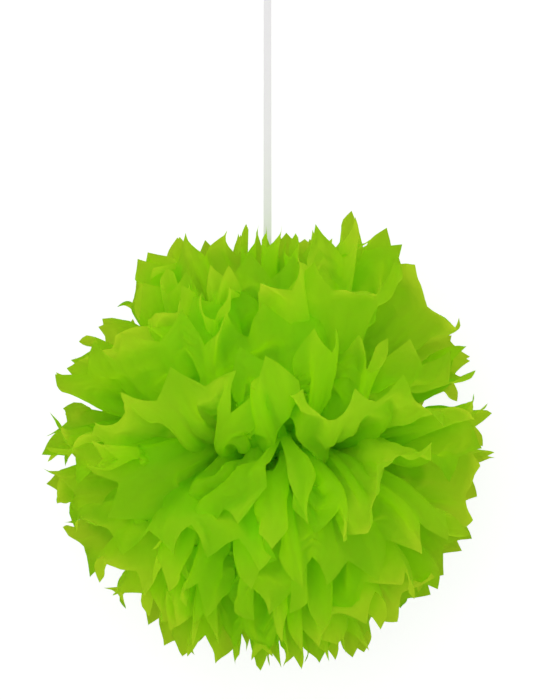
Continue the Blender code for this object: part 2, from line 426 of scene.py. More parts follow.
    def flare(self, fan: Fan, azimuth: np.ndarray) -> np.ndarray:
        """Where a fan belongs to the group of straight petals that stands out at the upper right.

        Args:
            fan: Which fan.
            azimuth: Direction of each column seen from above, in radians.

        Returns:
            Share of each column, 0 to 1.
        """
        fluffing = self.fluffing
        if fan.half is Half.LOWER or fan.side < 0 or fan.number < fluffing.flare_sheet:
            return np.zeros_like(azimuth)
        at, width = np.radians(fluffing.flare_bearings)
        return smooth(fluffing.flare_reach - np.abs(azimuth - at) / width)

    def uneven_openings(
        self, rng: np.random.Generator, room: float, shared: np.ndarray, turn: float
    ) -> np.ndarray:
        """How far each pleat of a fan is opened, as relative angles.

        What a fully opened pleat can't take is shared out again among the others, in a few rounds.

        Args:
            rng: Seeded generator.
            room: Cosine of the fan's rise, which says how much paper there is to spare.
            shared: Random wishes that all fans of this side share, one for each two pleats.
            turn: Angle of the whole fan, in radians.

        Returns:
            One positive number for each pleat.
        """
        fluffing, pleats = self.fluffing, self.cut.pleats
        full = self.cut.panel / (turn * self.cut.petal * room)
        own = rng.normal(size=len(shared))
        wish = np.repeat(fluffing.shared_opening * shared + fluffing.own_opening * own, 2)[:pleats]
        wish = np.roll(np.exp(fluffing.opening_scatter * wish), int(rng.integers(0, 2)))
        wish *= 1.0 - fluffing.side_closing * np.sin(np.linspace(0.0, math.pi, pleats)) ** 2
        for _ in range(fluffing.opening_rounds):
            wish = np.minimum(wish / wish.sum(), full * fluffing.widest_opening)
        return wish

    def one_fan(
        self,
        fan: Fan,
        length: np.ndarray,
        azimuth: np.ndarray,
        sway: np.ndarray,
        lifts: tuple[np.ndarray, np.ndarray, np.ndarray],
        crimp: np.ndarray,
    ) -> np.ndarray:
        """Points of one half fan as an accordion bent up from the waist.

        Args:
            fan: Which fan.
            length: Length of each column as a share of the cut's.
            azimuth: Direction of each column seen from above, in radians.
            sway: How far each column turns aside on the way to its tip, in radians.
            lifts: In degrees for each column: its slope near the waist, what is added to that towards
                the tip, and what is added at the very tip.
            crimp: How far the middle line of each pleat stands out of it, as a share of its width.

        Returns:
            Array of shape (columns, rows, 3).
        """
        cut, fluffing = self.cut, self.fluffing
        along = self.flat[..., 1]
        mids = (along[:, 1:] + along[:, :-1]) / 2
        rise, curl, tip = (lift[:, None] for lift in lifts)
        tip_slope, tip_start = fluffing.tip_ramp
        rise = np.clip(rise, -fluffing.steepest_rise, fluffing.steepest_rise)
        lean = np.radians(
            rise * smooth(mids / fluffing.bend_length)
            + curl * (mids / cut.petal) ** fluffing.curl_power
            + tip * smooth(mids / cut.petal * tip_slope - tip_start)
        )
        along = along * length[:, None]
        steps = np.diff(along, axis=1)
        zero = np.zeros((self.columns, 1))
        reach = np.concatenate([zero, np.cumsum(steps * np.cos(lean), axis=1)], axis=1)
        climb = np.concatenate([zero, np.cumsum(steps * np.sin(lean), axis=1)], axis=1)
        tilt = np.concatenate([lean, lean[:, -1:]], axis=1)
        turned = azimuth[:, None] + sway[:, None] * (along / cut.petal) ** 2
        across = self.flat[:, :, 0] / cut.panel
        panel_turn = np.gradient(turned, self.flat[:, 0, 0] / cut.panel, axis=0)
        arc = reach * panel_turn + cut.waist_width / cut.pleats
        width = cut.panel * self.gathered_share(along)
        pleat = np.sqrt(np.maximum(width**2 - arc**2, (fluffing.least_pleat * width) ** 2))
        saw = 1.0 - 2.0 * np.abs((across + 1.0) % 2.0 - 1.0)
        soft = fluffing.roundness * smooth(along / fluffing.open_length)
        wave = (1.0 - soft) * saw + soft * np.sin(saw * math.pi / 2) * fluffing.rounded_depth
        panel = np.minimum(across.astype(int), cut.pleats - 1)
        crimp_slope, crimp_start = fluffing.crimp_ramp
        ridge = 1.0 - np.abs(2.0 * (across - panel) - 1.0)
        ridge = ridge * smooth(along / cut.petal * crimp_slope - crimp_start)
        offset = 0.5 * wave * pleat + crimp[panel] * ridge * cut.panel
        least_out = fluffing.bundle_radius * smooth(along / fluffing.bundle_length)
        out = np.maximum(reach - offset * np.sin(tilt), least_out)
        start = (cut.waist_edge_length + (cut.waist_length - cut.waist_edge_length) * np.cos(azimuth)) / 2
        base = (across / cut.pleats - 0.5) * cut.waist_width
        points = np.empty((self.columns, self.rows, 3))
        points[..., 0] = fan.side * (start[:, None] + out * np.cos(turned))
        points[..., 1] = base + out * np.sin(turned)
        points[..., 2] = fan.half * (fan.number - 0.5) * cut.sheet_pitch + climb + offset * np.cos(tilt)
        return points

    def measure(self) -> None:
        """Work out the paper's rest lengths between grid points, with one leading axis for the fans."""
        share = self.gathered_share(self.flat[..., 1])
        u = self.flat[:, 0, 0]
        u_step = (u[1:] - u[:-1])[:, None]
        v = self.flat[..., 1] * self.lengths[:, :, None]
        mean = (share[1:] + share[:-1]) / 2
        self.rest_across = np.sqrt((u_step * mean) ** 2 + (v[:, 1:] - v[:, :-1]) ** 2)
        self.rest_along = v[..., 1:] - v[..., :-1]
        cell = (mean[:, 1:] + mean[:, :-1]) / 2 * u_step
        self.rest_rising = np.sqrt(cell**2 + (v[:, 1:, 1:] - v[:, :-1, :-1]) ** 2)
        self.rest_falling = np.sqrt(cell**2 + (v[:, :-1, 1:] - v[:, 1:, :-1]) ** 2)
        skip = (u[2:] - u[:-2])[:, None] * (share[2:] + share[:-2]) / 2
        self.rest_skip_across = np.sqrt(skip**2 + (v[:, 2:] - v[:, :-2]) ** 2)
        self.rest_skip_along = np.linalg.norm(self.home[:, :, 2:] - self.home[:, :, :-2], axis=-1)

    def pull(
        self,
        first: np.ndarray,
        second: np.ndarray,
        rest: np.ndarray,
        strength: float | np.ndarray = 1.0,
        apart_only: bool = False,
    ) -> None:
        """Move linked points towards their rest distance.

        Args:
            first: View of the points at one end.
            second: View of the points at the other end.
            rest: Rest distances.
            strength: Share of the error taken out, broadcast over the pairs.
            apart_only: Whether pairs that are too far from each other are left alone.
        """
        gap = second - first
        distance = np.sqrt(np.einsum("...i,...i->...", gap, gap)) + LEAST_GAP
        error = 1.0 - rest / distance
        if apart_only:
            error = np.minimum(error, 0.0)
        gap *= (0.5 * strength * error)[..., None]
        first += gap
        second -= gap

    def keep_lengths(self) -> None:
        """One sweep over the links along, across and askew."""
        p, askew = self.points, self.feel.askew
        turns = neighbours(0), neighbours(1)
        for near, far, links in turns:
            self.pull(p[:, :, near], p[:, :, far], self.rest_along[..., links])
            self.pull(p[:, near], p[:, far], self.rest_across[:, links])
        for (near, far, links), (inner, outer, steps) in product(turns, repeat=2):
            self.pull(p[:, near, inner], p[:, far, outer], self.rest_rising[:, links, steps], askew)
            self.pull(p[:, far, inner], p[:, near, outer], self.rest_falling[:, links, steps], askew)

    def stiffen(self) -> None:
        """Resist bending by pushing next-but-one points apart, less so at the folds."""
        p, feel = self.points, self.feel
        hold = np.full(self.columns - 2, feel.bend)
        hold[np.arange(1, self.columns - 1) % self.per_panel == 0] *= feel.fold_share
        lengthwise = feel.lengthwise_share * feel.bend
        self.pull(p[:, :-2], p[:, 2:], self.rest_skip_across, hold[:, None], apart_only=True)
        self.pull(p[:, :, :-2], p[:, :, 2:], self.rest_skip_along, lengthwise, apart_only=True)

    def crowding(self, cell: float) -> np.ndarray:
        """Direction round the ball in which each point finds more room, from the density of paper.

        Args:
            cell: Size of a density cell.

        Returns:
            Array like the points, of vectors no longer than about 1.
        """
        flat = self.points.reshape(-1, 3)
        size = int(self.feel.crowd_cube / cell)
        at = flat / cell + size / 2
        low = np.clip(np.floor(at).astype(np.int64), 0, size - 2)
        part = np.clip(at - low, 0.0, 1.0)
        base = (low[:, 0] * size + low[:, 1]) * size + low[:, 2]
        shares = (1 - part, part)
        corners = []
        density = np.zeros(size**3)
        for x, y, z in product((0, 1), repeat=3):
            weight = shares[x][:, 0] * shares[y][:, 1] * shares[z][:, 2]
            index = base + (x * size + y) * size + z
            corners.append((index, weight))
            density += np.bincount(index, weight, minlength=size**3)
        density = density.reshape(size, size, size)
        for axis in range(3):
            density = (np.roll(density, 1, axis) + 2 * density + np.roll(density, -1, axis)) / 4
        density = np.log(density + self.feel.void)
        slope = np.stack(np.gradient(density), axis=-1).reshape(-1, 3)
        push = np.zeros_like(flat)
        for index, weight in corners:
            push -= slope[index] * weight[:, None]
        outward = flat / (np.linalg.norm(flat, axis=1, keepdims=True) + LEAST_GAP)
        push -= np.einsum("ij,ij->i", push, outward)[:, None] * outward
        return push.reshape(self.points.shape)

    def relax(self, stage: Stage) -> None:
        """Let the paper settle for one stage.

        Args:
            stage: Its sweeps and strengths.
        """
        pinned = self.points[:, :, :2].copy()
        push = np.zeros_like(self.points)
        for sweep in range(stage.sweeps):
            if stage.spread and sweep % self.feel.crowd_every == 0:
                push = self.crowding(stage.cell)
            speed = (self.points - self.previous) * stage.drag
            self.previous = self.points.copy()
            self.points += speed + push * stage.spread
            self.points += (self.home - self.points) * stage.homing
            self.keep_lengths()
            self.stiffen()
            self.points[:, :, :2] = pinned


def grid_normals(points: np.ndarray) -> np.ndarray:
    """Normals of a grid of points.

    Args:
        points: Points of shape (columns, rows, 3).

    Returns:
        Unit normals of the same shape.
    """
    normals = np.cross(np.gradient(points, axis=0), np.gradient(points, axis=1))
    return normals / (np.linalg.norm(normals, axis=-1, keepdims=True) + LEAST_NORMAL)


def doubled(grid: np.ndarray, normals: np.ndarray | None, axis: int) -> np.ndarray:
    """Put a new line of points halfway between each two lines of a grid.

    The new points follow the curve through four lines out of the sheet, so that it bows, but stay in
    line within it, so that the points of the rim stay sharp.

    Args:
        grid: Points of shape (columns, rows, n).
        normals: Normals of the same shape, or None to place the points in plain halves.
        axis: 0 to add columns, 1 to add rows.

    Returns:
        The grid with 2n - 1 lines along the axis.
    """
    lines = np.moveaxis(grid, axis, 0)
    mids = (lines[1:] + lines[:-1]) / 2
    if normals is not None:
        facing = np.moveaxis(normals, axis, 0)
        facing = facing[1:] + facing[:-1]
        facing /= np.linalg.norm(facing, axis=-1, keepdims=True) + LEAST_NORMAL
        before = np.concatenate([2 * lines[:1] - lines[1:2], lines[:-2]])
        after = np.concatenate([lines[2:], 2 * lines[-1:] - lines[-2:-1]])
        # A cubic through four lines passes its middle a sixteenth of this beyond the plain half.
        bow = (lines[1:] + lines[:-1] - before - after) / 16
        mids = mids + np.einsum("...i,...i->...", bow, facing)[..., None] * facing
    joined = np.empty((2 * len(lines) - 1, *lines.shape[1:]))
    joined[0::2] = lines
    joined[1::2] = mids
    return np.moveaxis(joined, 0, axis)


def refined(points: np.ndarray, flat: np.ndarray) -> tuple[np.ndarray, np.ndarray]:
    """Halve the grid's spacing both ways.

    Args:
        points: Points of shape (columns, rows, 3).
        flat: Their places on the flat sheet, shape (columns, rows, 2).

    Returns:
        The finer points and their places on the flat sheet.
    """
    for axis in (0, 1):
        points = doubled(points, grid_normals(points), axis)
        flat = doubled(flat, None, axis)
    return points, flat


@dataclass(frozen=True)
class Creases:
    """The fine lengthwise creases of handled pleats, in two layers. Lengths are in metres.

    A crease wanders in waves along the pleat and across it, and its strength comes and goes. It begins
    away from the waist, and is partly ironed out near the rim.
    """

    depth: float = 0.008
    pitch: float = 0.011
    layers: tuple[float, float] = (0.65, 0.35)
    unevenness: float = 0.35
    least_height: float = 0.3
    wander: float = 0.010
    wander_along: float = 0.035
    wander_across: tuple[float, float] = (0.12, 0.05)
    weakening: float = 0.4
    weak_along: float = 0.020
    weak_across: float = 0.017
    begin_over: float = 0.06
    begin_late: float = 0.3
    rim_from: float = 0.13
    rim_over: float = 0.06
    rim_loss: float = 0.6

    def applied(self, points: np.ndarray, flat: np.ndarray, rng: np.random.Generator) -> np.ndarray:
        """Crease a fan.

        Args:
            points: Points of shape (columns, rows, 3).
            flat: Their places on the flat sheet, shape (columns, rows, 2).
            rng: Seeded generator.

        Returns:
            The creased points.
        """
        across, along = flat[..., 0], flat[..., 1]
        total = np.zeros_like(across)
        for share in self.layers:
            spread = self.wander * share
            count = int((across.max() + 2 * spread) / self.pitch)
            knots = np.linspace(-spread, across.max() + spread, count)
            knots += self.pitch * self.unevenness * (rng.random(count) - 0.5)
            heights = (self.least_height + rng.random(count)) * np.where(np.arange(count) % 2, 1.0, -1.0)
            turn = 2 * math.pi * rng.random(2)
            shift = spread * np.sin(along / self.wander_along + turn[0] + across / self.wander_across[0])
            shift = shift * np.sin(across / self.wander_across[1] + turn[1])
            strength = np.sin(along / self.weak_along + across / self.weak_across + turn[1])
            strength = 1.0 - self.weakening + self.weakening * strength
            total += share * strength * np.interp(across + shift, knots, heights)
        fade = smooth(along / self.begin_over - self.begin_late)
        fade = fade * (1.0 - self.rim_loss * smooth((along - self.rim_from) / self.rim_over))
        return points + (self.depth * total * fade)[..., None] * grid_normals(points)


def placed(name: str, data: bpy.types.ID) -> bpy.types.Object:
    """Put new data into the scene.

    Args:
        name: The object's name.
        data: A mesh, a camera or a light.

    Returns:
        The object.
    """
    obj = bpy.data.objects.new(name, data)
    bpy.context.scene.collection.objects.link(obj)
    return obj


@dataclass
class TissueSheets:
    """The ten sheets of tissue, fluffed and turned into meshes."""

    cut: SheetCut = field(default_factory=SheetCut)
    fluffing: Fluffing = field(default_factory=Fluffing)
    feel: PaperFeel = field(default_factory=PaperFeel)
    creases: Creases = field(default_factory=Creases)
    per_panel: int = 6
    rows: int = 39
    stages: tuple[Stage, ...] = (
        Stage(sweeps=60, homing=0.04),
        Stage(sweeps=100, homing=0.020, spread=0.0010, cell=0.016),
        Stage(sweeps=100, homing=0.012, spread=0.0006),
        Stage(sweeps=40, homing=0.002, drag=0.5),
    )

    def settled(self) -> PaperFans:
        """Fluff the paper.

        Returns:
            The relaxed fans.
        """
        block = PaperFans(self.cut, self.fluffing, self.feel, self.per_panel, self.rows)
        began = time.time()
        for stage in self.stages:
            block.relax(stage)
        LOG.info("paper settled in %.1f s", time.time() - began)
        return block

    def build(self, material: bpy.types.Material) -> None:
        """Make a mesh for every sheet and dress it.

        Args:
            material: The tissue's material.
        """
        block = self.settled()
        middle = np.array((0.0, 0.0, WAIST_HEIGHT))
        sheets: dict[tuple[Half, int], dict[int, tuple[np.ndarray, np.ndarray]]] = {}
        for fan, points, lengths in zip(block.fans(), block.points, block.lengths):
            flat = np.stack([block.flat[..., 0], block.flat[..., 1] * lengths[:, None]], axis=-1)
            sheets.setdefault((fan.half, fan.number), {})[fan.side] = (points + middle, flat)
        for (half, number), sides in sheets.items():
            obj = self.sheet_object(half, number, sides, material)
            LOG.info("sheet %s: %d faces", obj.name, len(obj.data.polygons))

    def sheet_object(
        self,
        half: Half,
        number: int,
        sides: dict[int, tuple[np.ndarray, np.ndarray]],
        material: bpy.types.Material,
    ) -> bpy.types.Object:
        """One sheet: the left fan, the band through the waist and the right fan in one mesh.

        Args:
            half: Upper or lower.
            number: 1 for the outermost sheet.
            sides: Points of the left (-1) and right (+1) fan, and their places on the flat sheet.
            material: The tissue's material.

        Returns:
            The sheet.
        """
        rng = np.random.default_rng(self.fluffing.seed + 10 * number + (half > 0))
        (left, flat_left), (right, flat_right) = (refined(*sides[side]) for side in (-1, 1))
        left = self.creases.applied(left, flat_left, rng)
        right = self.creases.applied(right, flat_right, rng)
        points = np.concatenate([left[:, ::-1], right], axis=1)
        places = np.concatenate([flat_left[:, ::-1] * (1, -1), flat_right], axis=1)
        columns, rows = points.shape[:2]
        index = np.arange(columns * rows).reshape(columns, rows)
        corners = (index[:-1, :-1], index[1:, :-1], index[1:, 1:], index[:-1, 1:])
        quads = np.stack(corners, axis=-1).reshape(-1, 4)
        mesh = bpy.data.meshes.new(f"tissue_{half.name.lower()}_{number}")
        mesh.from_pydata(points.reshape(-1, 3).tolist(), [], quads.tolist())
        layer = mesh.uv_layers.new(name="flat_sheet")
        uv = places.reshape(-1, 2)[quads.reshape(-1)]
        layer.data.foreach_set("uv", uv.astype(np.float32).ravel())
        mesh.shade_smooth()
        mesh.materials.append(material)
        obj = placed(mesh.name, mesh)
        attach(obj, "root")
        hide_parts(f"{half.name.lower()}_sheet_{number}")
        return obj


@dataclass(frozen=True)
class RibbonRoute:
    """Where the hanging ribbon runs. Heights are above the middle of the waist, in metres."""

    width: float = 0.007
    thickness: float = 0.0004
    wire_height: float = 0.009342
    wire_radius: float = 0.00045
    clearance: float = 0.0003
    low_knot: float = 0.013092
    high_knot: float = 0.4137
    loop_top: float = 0.4552
    loop_width: float = 0.020
    loop_swell: float = 0.77
    strand_spacing: float = 0.0012
    knot_size: tuple[float, float, float] = (0.0085, 0.0045, 0.0060)
    knot_turns: float = 2.1
    knot_start: float = -0.4
    knot_taper: float = 0.2
    knot_climb: float = 0.30
    drop_steps: int = 24
    loop_steps: int = 48
    eye_steps: int = 14
    knot_steps: int = 59

    def drop(self) -> list[Vector]:
        """The straight run from the lower knot to the upper one.

        Returns:
            Points in the row frame.
        """
        span, steps = self.high_knot - self.low_knot, self.drop_steps
        heights = (WAIST_HEIGHT + self.low_knot + span * step / steps for step in range(steps + 1))
        return [Vector((0, 0, height)) for height in heights]

    def loop(self) -> list[Vector]:
        """The hanging loop, from its knot round and back.

        Returns:
            Points in the row frame.
        """
        points = []
        for step in range(self.loop_steps + 1):
            angle = 2 * math.pi * step / self.loop_steps
            swell = math.sin(angle) * math.sin(angle / 2) / self.loop_swell
            y = self.loop_width / 2 * swell + self.strand_spacing / 2 * math.cos(angle / 2)
            height = self.high_knot + (self.loop_top - self.high_knot) * (1 - math.cos(angle)) / 2
            points.append(Vector((0, y, WAIST_HEIGHT + height)))
        return points

    def eye(self) -> list[Vector]:
        """The turn under the wire, from the lower knot and back up to it.

        Returns:
            Points in the row frame.
        """
        radius = self.wire_radius + self.clearance + self.thickness / 2
        points = [Vector((-radius, 0, WAIST_HEIGHT + self.low_knot))]
        for step in range(self.eye_steps + 1):
            angle = math.pi * (1 + step / self.eye_steps)
            height = self.wire_height + radius * math.sin(angle)
            points.append(Vector((radius * math.cos(angle), 0, WAIST_HEIGHT + height)))
        points.append(Vector((radius, 0, WAIST_HEIGHT + self.low_knot)))
        return points

    def knot(self, height: float) -> list[Vector]:
        """A tight winding round the strands.

        Args:
            height: Height of the knot's middle above the waist.

        Returns:
            Points in the row frame.
        """
        wide, deep, tall = self.knot_size
        points = []
        for step in range(self.knot_steps + 1):
            share = step / self.knot_steps
            angle = 2 * math.pi * self.knot_turns * share + self.knot_start
            swell = 1.0 - self.knot_taper + self.knot_taper * math.sin(math.pi * share)
            x = (wide / 2 - 2 * self.thickness) * swell * math.cos(angle)
            y = (deep / 2 - 2 * self.thickness) * swell * math.sin(angle)
            points.append(Vector((x, y, WAIST_HEIGHT + height + self.knot_climb * tall * (share - 0.5))))
        return points


@dataclass
class HangingRibbon:
    """The woven ribbon: its run, the eye round the wire, the hanging loop and the two knots.

    Walls are shares of the ribbon's thickness, and places on it run from 0 in the middle to 1 at the
    edges.
    """

    route: RibbonRoute = field(default_factory=RibbonRoute)
    columns: int = 15
    inner_wall: float = 0.75
    edge_wall: float = 0.35
    selvedge_from: float = 0.8
    selvedge_over: float = 0.15
    knot_band: float = 0.62
    knot_lean: float = 0.15
    tuck_depth: float = 0.00012
    tuck_waves: float = 2.5
    tuck_drift: float = 9.0

    def wall(self, edge: float) -> float:
        """Half the thickness at a place across the ribbon.

        Args:
            edge: The place, 0 in the middle and 1 at an edge.

        Returns:
            Half the thickness there, in metres.
        """
        selvedge = float(smooth(np.array((edge - self.selvedge_from) / self.selvedge_over)))
        wall = self.route.thickness / 2 * (self.inner_wall + (1.0 - self.inner_wall) * selvedge)
        return wall * (self.edge_wall if edge == 1.0 else 1.0)

    def strip(
        self,
        name: str,
        path: list[Vector],
        across: Vector,
        material: bpy.types.Material,
        width: float,
        tuck: float = 0.0,
    ) -> bpy.types.Object:
        """A woven strip along a path, with thicker selvedges.

        Args:
            name: The piece's name.
            path: Points that its middle follows.
            across: Direction of its width, roughly.
            material: Its material.
            width: Its width.
            tuck: Depth of the folds that gather it across, 0 for a flat strip.

        Returns:
            The piece, with UVs that run 0 to 1 across and in metres along.
        """
        bm = bmesh.new()
        layer = bm.loops.layers.uv.new("weave")
        shares = [column / (self.columns - 1) for column in range(self.columns)]
        outline = [(share, 1) for share in shares] + [(share, -1) for share in reversed(shares)]
        rings, runs, run = [], [], 0.0
        for index, point in enumerate(path):
            before, after = path[max(index - 1, 0)], path[min(index + 1, len(path) - 1)]
            along = (after - before).normalized()
            side = (across - along * across.dot(along)).normalized()
            facing = along.cross(side)
            run += (point - before).length
            ring = []
            for share, face in outline:
                fold = tuck * math.sin(2 * math.pi * self.tuck_waves * share + self.tuck_drift * run / width)
                height = face * self.wall(abs(2 * share - 1)) + fold
                ring.append(bm.verts.new(point + side * width * (share - 0.5) + facing * height))
            rings.append(ring)
            runs.append(run)
        count = len(outline)
        for row, (ring, following) in enumerate(zip(rings, rings[1:])):
            for start in range(count):
                end = (start + 1) % count
                quad = bm.faces.new((ring[start], ring[end], following[end], following[start]))
                quad.smooth = True
                places = ((start, row), (end, row), (end, row + 1), (start, row + 1))
                for corner, (column, station) in zip(quad.loops, places):
                    corner[layer].uv = (outline[column][0], runs[station])
        bm.faces.new(rings[0])
        bm.faces.new(rings[-1][::-1])
        bmesh.ops.recalc_face_normals(bm, faces=bm.faces)
        mesh = bpy.data.meshes.new(name)
        bm.to_mesh(mesh)
        bm.free()
        mesh.materials.append(material)
        obj = placed(name, mesh)
        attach(obj, "root")
        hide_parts("hanging_ribbon")
        return obj

    def build(self, material: bpy.types.Material) -> bpy.types.Object:
        """Args:
            material: The ribbon's material.

        Returns:
            The ribbon's straight run.
        """
        route = self.route
        across_x, across_y, upright = Vector((1, 0, 0)), Vector((0, 1, 0)), Vector((self.knot_lean, 0, 1))
        drop = route.drop()
        run = self.strip("ribbon_run", drop, across_x, material, route.width)
        others = [
            self.strip("ribbon_eye", route.eye(), across_y, material, route.width),
            self.strip("ribbon_loop", route.loop(), across_x, material, route.width),
        ]
        band = self.knot_band * route.knot_size[2]
        for name, height in (("ribbon_low_knot", route.low_knot), ("ribbon_high_knot", route.high_knot)):
            others.append(self.strip(name, route.knot(height), upright, material, band, self.tuck_depth))
        return run


class NodeCanvas:
    """Small helper that adds shader nodes to a tree and links them."""

    def __init__(self, tree: bpy.types.NodeTree) -> None:
        """Start on a tree.

        Args:
            tree: The node tree to add to.
        """
        self.tree = tree

    def fill(self, node: bpy.types.Node, values: dict[str, object]) -> None:
        """Link or set the inputs of a node.

        Args:
            node: The node.
            values: Input name or number to an output socket or a plain value.
        """
        for name, value in values.items():
            socket = node.inputs[int(name)] if name.isdigit() else node.inputs[name]
            if isinstance(value, bpy.types.NodeSocket):
                self.tree.links.new(value, socket)
            else:
                socket.default_value = value

    def add(self, kind: str, values: dict[str, object] | None = None, **settings: object) -> bpy.types.Node:
        """Add a node, set its properties and fill its inputs.

        Args:
            kind: The node's type name.
            values: Input name or number to an output socket or a plain value.
            **settings: Properties of the node.

        Returns:
            The node.
        """
        node = self.tree.nodes.new(kind)
        for name, value in settings.items():
            setattr(node, name, value)
        self.fill(node, values or {})
        return node

    def group(self, tree: bpy.types.NodeTree, values: dict[str, object]) -> bpy.types.Node:
        """Place a node group that reads the object's coordinates.

        Args:
            tree: The group.
            values: Its other inputs.

        Returns:
            The group's node.
        """
        place = self.add("ShaderNodeTexCoord").outputs["Object"]
        return self.add("ShaderNodeGroup", {"Vector": place, **values}, node_tree=tree)

    def math(self, operation: str, *operands: object) -> bpy.types.NodeSocket:
        """Add a Math node.

        Args:
            operation: The operation's name.
            *operands: Sockets or numbers.

        Returns:
            The result's socket.
        """
        values = {str(number): operand for number, operand in enumerate(operands)}
        return self.add("ShaderNodeMath", values, operation=operation).outputs[0]

    def mixed(self, share: object, first: tuple, second: tuple) -> bpy.types.NodeSocket:
        """Mix two colours.

        Args:
            share: Share of the second colour, a socket or a number.
            first: Red, green and blue.
            second: Red, green and blue.

        Returns:
            The mixed colour's socket.
        """
        values = {"0": share, "6": (*first, 1.0), "7": (*second, 1.0)}
        return self.add("ShaderNodeMix", values, data_type="RGBA").outputs[2]


def new_material(name: str) -> tuple[bpy.types.Material, NodeCanvas, bpy.types.Node]:
    """Start a material.

    Args:
        name: Its name.

    Returns:
        The material, its canvas and its Principled BSDF.
    """
    material = bpy.data.materials.new(name)
    material.use_nodes = True
    return material, NodeCanvas(material.node_tree), material.node_tree.nodes["Principled BSDF"]


def new_group(
    name: str, inputs: dict[str, tuple[str, object]], outputs: tuple[str, ...]
) -> tuple[bpy.types.NodeTree, NodeCanvas, bpy.types.Node, bpy.types.Node]:
    """Start a shader node group.

    Args:
        name: The group's name.
        inputs: Input name to socket type and default.
        outputs: Names of its outputs, which are plain values.

    Returns:
        The group, its canvas, its input node and its output node.
    """
    tree = bpy.data.node_groups.new(name, "ShaderNodeTree")
    for label, (kind, default) in inputs.items():
        socket = tree.interface.new_socket(label, in_out="INPUT", socket_type=kind)
        if default is not None:
            socket.default_value = default
    for label in outputs:
        tree.interface.new_socket(label, in_out="OUTPUT", socket_type="NodeSocketFloat")
    canvas = NodeCanvas(tree)
    return tree, canvas, canvas.add("NodeGroupInput"), canvas.add("NodeGroupOutput")


def crumple_group() -> bpy.types.NodeTree:
    """Soft facets, as in handled paper.

    Returns:
        A group with inputs Vector, Scale and Sharpness, and output Height.
    """
    tree, canvas, source, sink = new_group(
        "paper_crumple",
        {
            "Vector": ("NodeSocketVector", None),
            "Scale": ("NodeSocketFloat", 40.0),
            "Sharpness": ("NodeSocketFloat", 0.5),
        },
        ("Height",),
    )
    vector, scale = source.outputs["Vector"], source.outputs["Scale"]
    bend = canvas.add("ShaderNodeTexNoise", {"Vector": vector, "Scale": 18.0, "Detail": 2.0})
    warp = {"0": bend.outputs["Color"], "1": (0.012, 0.012, 0.012), "2": vector}
    shift = canvas.add("ShaderNodeVectorMath", warp, operation="MULTIPLY_ADD").outputs[0]
    facets = {"Vector": shift, "Scale": scale}
    cells = canvas.add("ShaderNodeTexVoronoi", facets, feature="DISTANCE_TO_EDGE")
    folded = canvas.math("POWER", cells.outputs["Distance"], source.outputs["Sharpness"])
    soft = canvas.add("ShaderNodeTexNoise", {**facets, "Detail": 3.0, "Roughness": 0.55})
    height = canvas.math("MULTIPLY_ADD", folded, 0.6, soft.outputs["Fac"])
    tree.links.new(height, sink.inputs["Height"])
    return tree


def fibre_group() -> bpy.types.NodeTree:
    """Cloudy formation of fibres and their fine grain, also the unevenness of a zinc skin.

    Returns:
        A group with inputs Vector and Scale, and outputs Clouds and Grain.
    """
    tree, canvas, source, sink = new_group(
        "fine_fibres",
        {"Vector": ("NodeSocketVector", None), "Scale": ("NodeSocketFloat", 300.0)},
        ("Clouds", "Grain"),
    )
    vector, scale = source.outputs["Vector"], source.outputs["Scale"]
    coarse = canvas.math("MULTIPLY", scale, 0.25)
    clouds = {"Vector": vector, "Scale": coarse, "Detail": 4.0, "Roughness": 0.65}
    grain = {"Vector": vector, "Scale": scale, "Detail": 2.0, "Roughness": 0.7}
    for label, values in (("Clouds", clouds), ("Grain", grain)):
        tree.links.new(canvas.add("ShaderNodeTexNoise", values).outputs["Fac"], sink.inputs[label])
    return tree


@dataclass(frozen=True)
class TissueFinish:
    """Thin dyed tissue: light soaks into it and glows through it."""

    colour: tuple[float, float, float] = (0.578, 0.906, 0.019)
    deep_colour: tuple[float, float, float] = (0.555, 0.892, 0.016)
    through_colour: tuple[float, float, float] = (0.655, 0.932, 0.027)
    glow: float = 0.84
    clouding: float = 0.9
    roughness: float = 0.75
    shine: float = 0.2
    crumple_scale: float = 55.0
    crumple_sharpness: float = 0.8
    fibre_scale: float = 900.0
    grain_height: float = 0.06
    bump_strength: float = 0.5
    bump_depth: float = 0.0020

    def material(self, crumple: bpy.types.NodeTree, fibres: bpy.types.NodeTree) -> bpy.types.Material:
        """Build the material.

        Args:
            crumple: The crumple group.
            fibres: The fibre group.

        Returns:
            The tissue's material.
        """
        material, canvas, shader = new_material("green_tissue")
        folds = canvas.group(crumple, {"Scale": self.crumple_scale, "Sharpness": self.crumple_sharpness})
        grain = canvas.group(fibres, {"Scale": self.fibre_scale})
        clouds = canvas.math("MULTIPLY", grain.outputs["Clouds"], self.clouding)
        height = canvas.math(
            "MULTIPLY_ADD", grain.outputs["Grain"], self.grain_height, folds.outputs["Height"]
        )
        bump = canvas.add(
            "ShaderNodeBump", {"Height": height, "Strength": self.bump_strength, "Distance": self.bump_depth}
        )
        normal = bump.outputs["Normal"]
        canvas.fill(
            shader,
            {
                "Base Color": canvas.mixed(clouds, self.colour, self.deep_colour),
                "Normal": normal,
                "Roughness": self.roughness,
                "Specular IOR Level": self.shine,
            },
        )
        through = canvas.add("ShaderNodeRGB").outputs[0]
        through.default_value = (*self.through_colour, 1.0)
        glow = canvas.add("ShaderNodeBsdfTranslucent", {"Color": through, "Normal": normal}).outputs[0]
        both = canvas.add("ShaderNodeMixShader", {"0": self.glow, "1": shader.outputs[0], "2": glow})
        canvas.fill(material.node_tree.nodes["Material Output"], {"Surface": both.outputs[0]})
        return material


